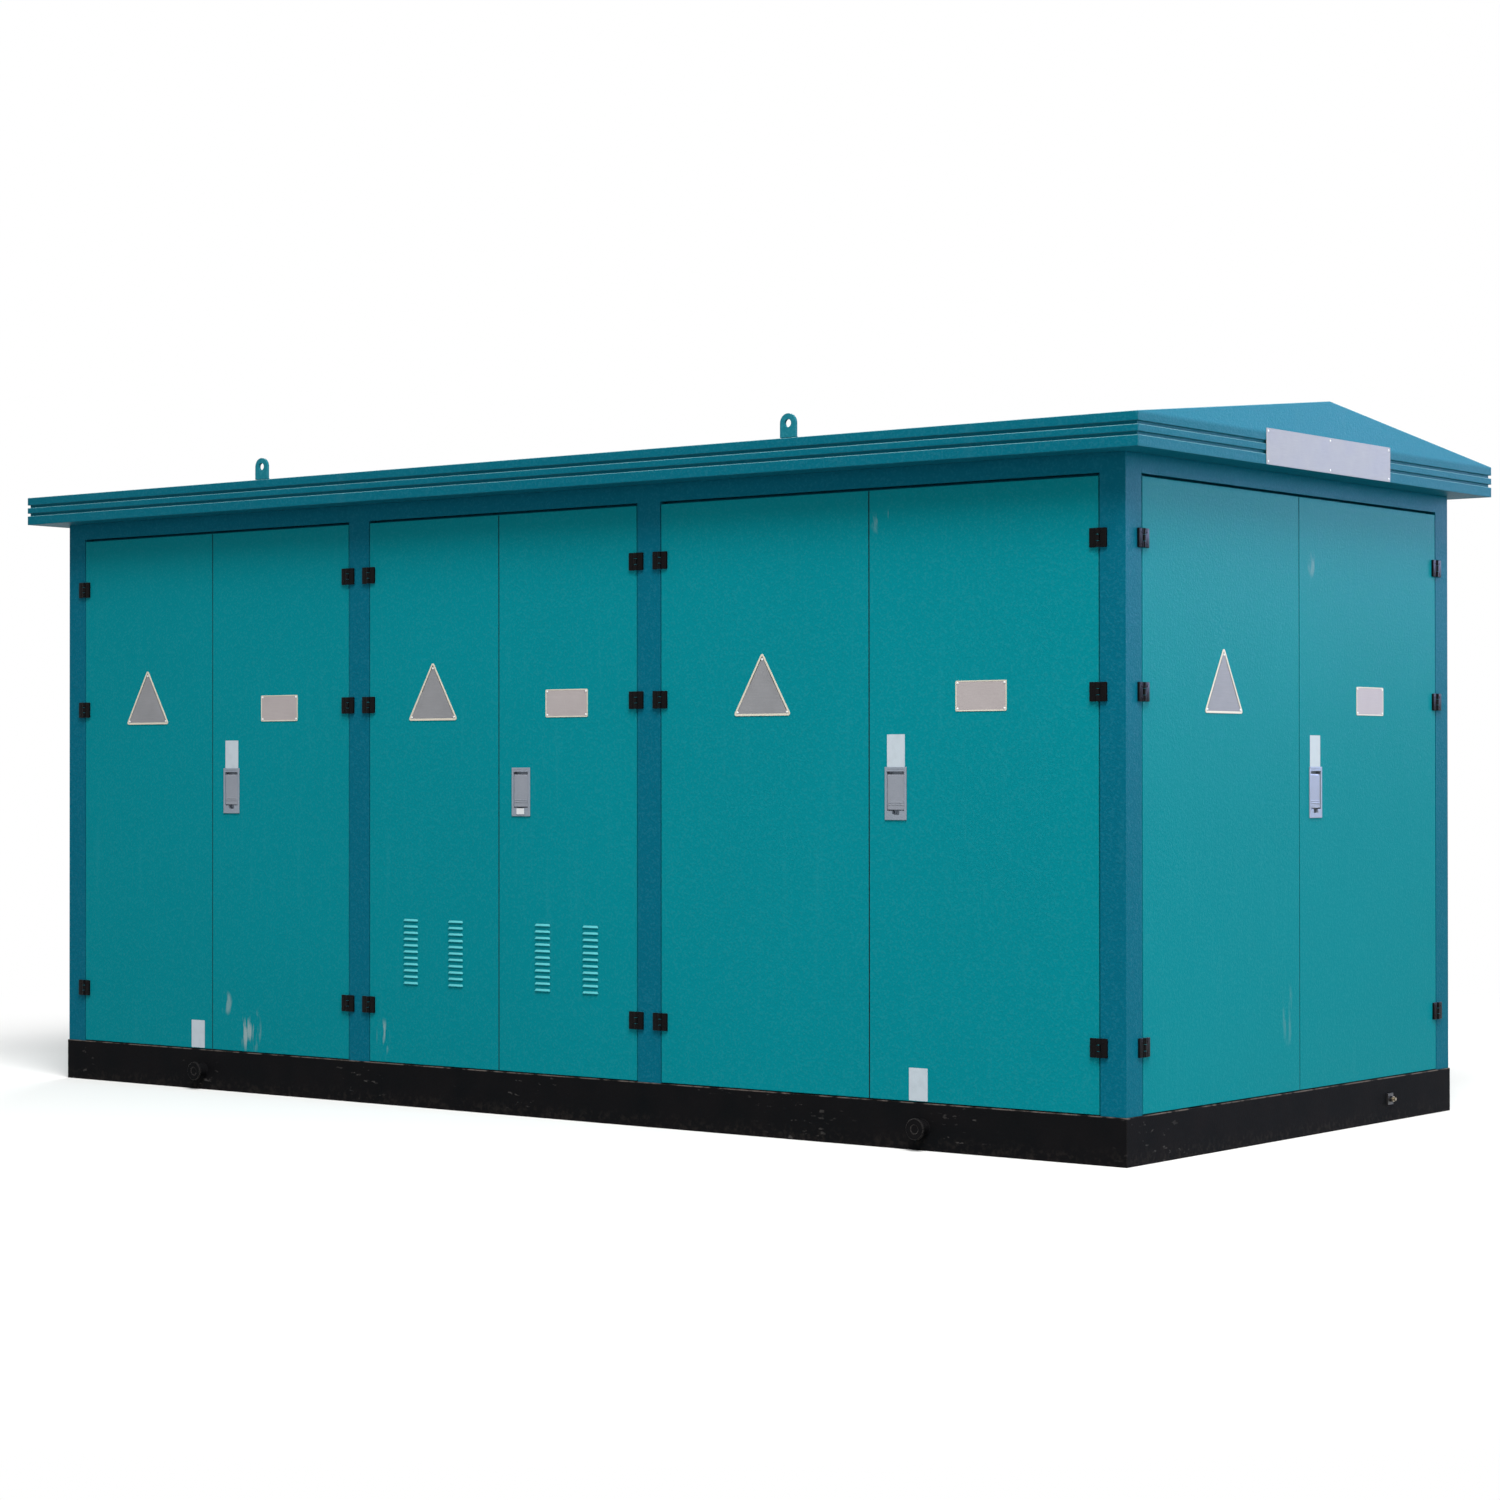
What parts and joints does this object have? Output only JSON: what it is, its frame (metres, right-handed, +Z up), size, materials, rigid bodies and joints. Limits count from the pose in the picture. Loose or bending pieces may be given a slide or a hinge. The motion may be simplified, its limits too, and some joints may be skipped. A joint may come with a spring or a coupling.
{
  "type": "prefabricated box substation",
  "caption": "Walk-up outdoor substation on a skid: switchgear, transformer and low-voltage rooms behind hinged steel doors under a shallow gabled roof.",
  "frame": {"origin": "middle of the footprint, on the surface the skid stands on", "axes": "+X along the body to the low-voltage end, -Y out of the front doors, +Z up"},
  "size_m": [5.2813, 2.478, 2.5015],
  "materials": {
    "base_paint": "black semi-gloss enamel on welded channel",
    "frame_paint": "darker blue-teal textured enamel",
    "door_paint": "teal powder coat with fine orange peel",
    "roof_paint": "blue-teal enamel",
    "chequer_plate": "raised chequer plate, grey",
    "galvanised_sheet": "galvanised sheet, spangled",
    "plated_steel": "zinc-plated",
    "brushed_plate": "brushed sheet, bare",
    "lock_metal": "satin plated casting",
    "tank_paint": "grey enamel on corrugated tank",
    "core_steel": "stacked electrical steel sheet",
    "winding_varnish": "varnished winding",
    "porcelain": "brown glazed insulator",
    "cast_resin": "red-brown cast resin",
    "switchgear_enamel": "light grey enamel",
    "board_enamel": "pebble grey enamel",
    "black_plastic": "black moulded plastic"
  },
  "bodies": {
    "enclosure": {"base_frame": "base_paint", "hv_floor": "chequer_plate", "lv_floor": "chequer_plate", "front_left_trunnion": "base_paint", "front_right_trunnion": "base_paint", "rear_left_trunnion": "base_paint", "rear_right_trunnion": "base_paint", "earth_stud": "plated_steel", "front_frame": "frame_paint", "rear_frame": "frame_paint", "left_end_frame": "frame_paint", "right_end_frame": "frame_paint", "hv_rear_panel": "door_paint", "lv_rear_panel": "door_paint", "hv_partition": "galvanised_sheet", "lv_partition": "galvanised_sheet", "roof": "roof_paint", "front_left_eye": "roof_paint", "front_right_eye": "roof_paint", "rear_left_eye": "roof_paint", "rear_right_eye": "roof_paint", "gable_nameplate": "brushed_plate", "transformer_tank": "tank_paint", "tank_cover": "tank_paint", "core": "core_steel", "winding_a": "winding_varnish", "winding_b": "winding_varnish", "winding_c": "winding_varnish", "hv_bushing_a": "porcelain", "hv_bushing_b": "porcelain", "hv_bushing_c": "porcelain", "lv_terminal_block": "cast_resin", "ring_main_unit": "switchgear_enamel", "lv_switchboard": "board_enamel"},
    "hv_front_left_leaf": {"hv_front_left_leaf": "door_paint"},
    "hv_front_right_leaf": {"hv_front_right_leaf": "door_paint", "hv_front_lock_housing": "lock_metal"},
    "hv_front_lock_lever": {"hv_front_lock_lever": "lock_metal"},
    "transformer_front_left_leaf": {"transformer_front_left_leaf": "door_paint"},
    "transformer_front_right_leaf": {"transformer_front_right_leaf": "door_paint", "transformer_front_lock_housing": "lock_metal"},
    "transformer_front_lock_lever": {"transformer_front_lock_lever": "lock_metal"},
    "lv_front_left_leaf": {"lv_front_left_leaf": "door_paint"},
    "lv_front_right_leaf": {"lv_front_right_leaf": "door_paint", "lv_front_lock_housing": "lock_metal"},
    "lv_front_lock_lever": {"lv_front_lock_lever": "lock_metal"},
    "lv_end_left_leaf": {"lv_end_left_leaf": "door_paint"},
    "lv_end_right_leaf": {"lv_end_right_leaf": "door_paint", "lv_end_lock_housing": "lock_metal"},
    "lv_end_lock_lever": {"lv_end_lock_lever": "lock_metal"},
    "hv_end_left_leaf": {"hv_end_left_leaf": "door_paint"},
    "hv_end_right_leaf": {"hv_end_right_leaf": "door_paint", "hv_end_lock_housing": "lock_metal"},
    "hv_end_lock_lever": {"hv_end_lock_lever": "lock_metal"},
    "transformer_rear_left_leaf": {"transformer_rear_left_leaf": "door_paint"},
    "transformer_rear_right_leaf": {"transformer_rear_right_leaf": "door_paint", "transformer_rear_lock_housing": "lock_metal"},
    "transformer_rear_lock_lever": {"transformer_rear_lock_lever": "lock_metal"},
    "ring_main_selector": {"ring_main_selector": "black_plastic"},
    "main_breaker_lever": {"main_breaker_lever": "black_plastic"}
  },
  "joints": [
    {"name": "hv_front_left_leaf_hinge", "type": "hinge", "parent": "enclosure", "child": "hv_front_left_leaf", "pos_m": [-2.4215, -1.127, 0.16], "axis": [0, 0, -1], "range_deg": [0, 90]},
    {"name": "hv_front_right_leaf_hinge", "type": "hinge", "parent": "enclosure", "child": "hv_front_right_leaf", "pos_m": [-0.9155, -1.127, 0.16], "axis": [0, 0, 1], "range_deg": [0, 90]},
    {"name": "hv_front_lock_lever_pivot", "type": "hinge", "parent": "hv_front_right_leaf", "child": "hv_front_lock_lever", "pos_m": [-1.558, -1.116, 1.234], "axis": [-1, 0, 0], "range_deg": [0, 60]},
    {"name": "transformer_front_left_leaf_hinge", "type": "hinge", "parent": "enclosure", "child": "transformer_front_left_leaf", "pos_m": [-0.8065, -1.127, 0.16], "axis": [0, 0, -1], "range_deg": [0, 90]},
    {"name": "transformer_front_right_leaf_hinge", "type": "hinge", "parent": "enclosure", "child": "transformer_front_right_leaf", "pos_m": [0.5105, -1.127, 0.16], "axis": [0, 0, 1], "range_deg": [0, 90]},
    {"name": "transformer_front_lock_lever_pivot", "type": "hinge", "parent": "transformer_front_right_leaf", "child": "transformer_front_lock_lever", "pos_m": [-0.0375, -1.116, 1.234], "axis": [-1, 0, 0], "range_deg": [0, 60]},
    {"name": "lv_front_left_leaf_hinge", "type": "hinge", "parent": "enclosure", "child": "lv_front_left_leaf", "pos_m": [0.6195, -1.127, 0.16], "axis": [0, 0, -1], "range_deg": [0, 90]},
    {"name": "lv_front_right_leaf_hinge", "type": "hinge", "parent": "enclosure", "child": "lv_front_right_leaf", "pos_m": [2.4215, -1.127, 0.16], "axis": [0, 0, 1], "range_deg": [0, 90]},
    {"name": "lv_front_lock_lever_pivot", "type": "hinge", "parent": "lv_front_right_leaf", "child": "lv_front_lock_lever", "pos_m": [1.631, -1.116, 1.234], "axis": [-1, 0, 0], "range_deg": [0, 60]},
    {"name": "lv_end_left_leaf_hinge", "type": "hinge", "parent": "enclosure", "child": "lv_end_left_leaf", "pos_m": [2.527, -1.0215, 0.16], "axis": [0, 0, -1], "range_deg": [0, 90]},
    {"name": "lv_end_right_leaf_hinge", "type": "hinge", "parent": "enclosure", "child": "lv_end_right_leaf", "pos_m": [2.527, 1.0215, 0.16], "axis": [0, 0, 1], "range_deg": [0, 90]},
    {"name": "lv_end_lock_lever_pivot", "type": "hinge", "parent": "lv_end_right_leaf", "child": "lv_end_lock_lever", "pos_m": [2.516, 0.1105, 1.234], "axis": [0, -1, 0], "range_deg": [0, 60]},
    {"name": "hv_end_left_leaf_hinge", "type": "hinge", "parent": "enclosure", "child": "hv_end_left_leaf", "pos_m": [-2.527, 1.0215, 0.16], "axis": [0, 0, -1], "range_deg": [0, 90]},
    {"name": "hv_end_right_leaf_hinge", "type": "hinge", "parent": "enclosure", "child": "hv_end_right_leaf", "pos_m": [-2.527, -1.0215, 0.16], "axis": [0, 0, 1], "range_deg": [0, 90]},
    {"name": "hv_end_lock_lever_pivot", "type": "hinge", "parent": "hv_end_right_leaf", "child": "hv_end_lock_lever", "pos_m": [-2.516, -0.1105, 1.234], "axis": [0, 1, 0], "range_deg": [0, 60]},
    {"name": "transformer_rear_left_leaf_hinge", "type": "hinge", "parent": "enclosure", "child": "transformer_rear_left_leaf", "pos_m": [0.5105, 1.127, 0.16], "axis": [0, 0, -1], "range_deg": [0, 90]},
    {"name": "transformer_rear_right_leaf_hinge", "type": "hinge", "parent": "enclosure", "child": "transformer_rear_right_leaf", "pos_m": [-0.8065, 1.127, 0.16], "axis": [0, 0, 1], "range_deg": [0, 90]},
    {"name": "transformer_rear_lock_lever_pivot", "type": "hinge", "parent": "transformer_rear_right_leaf", "child": "transformer_rear_lock_lever", "pos_m": [-0.2585, 1.116, 1.234], "axis": [1, 0, 0], "range_deg": [0, 60]},
    {"name": "ring_main_selector_turn", "type": "hinge", "parent": "enclosure", "child": "ring_main_selector", "pos_m": [-1.62, -0.4783, 1.4406], "axis": [0, 1, 0], "range_deg": [0, 90]},
    {"name": "main_breaker_toggle", "type": "hinge", "parent": "enclosure", "child": "main_breaker_lever", "pos_m": [1.12, -0.481, 1.4606], "axis": [-1, 0, 0], "range_deg": [-35, 35]}
  ]
}
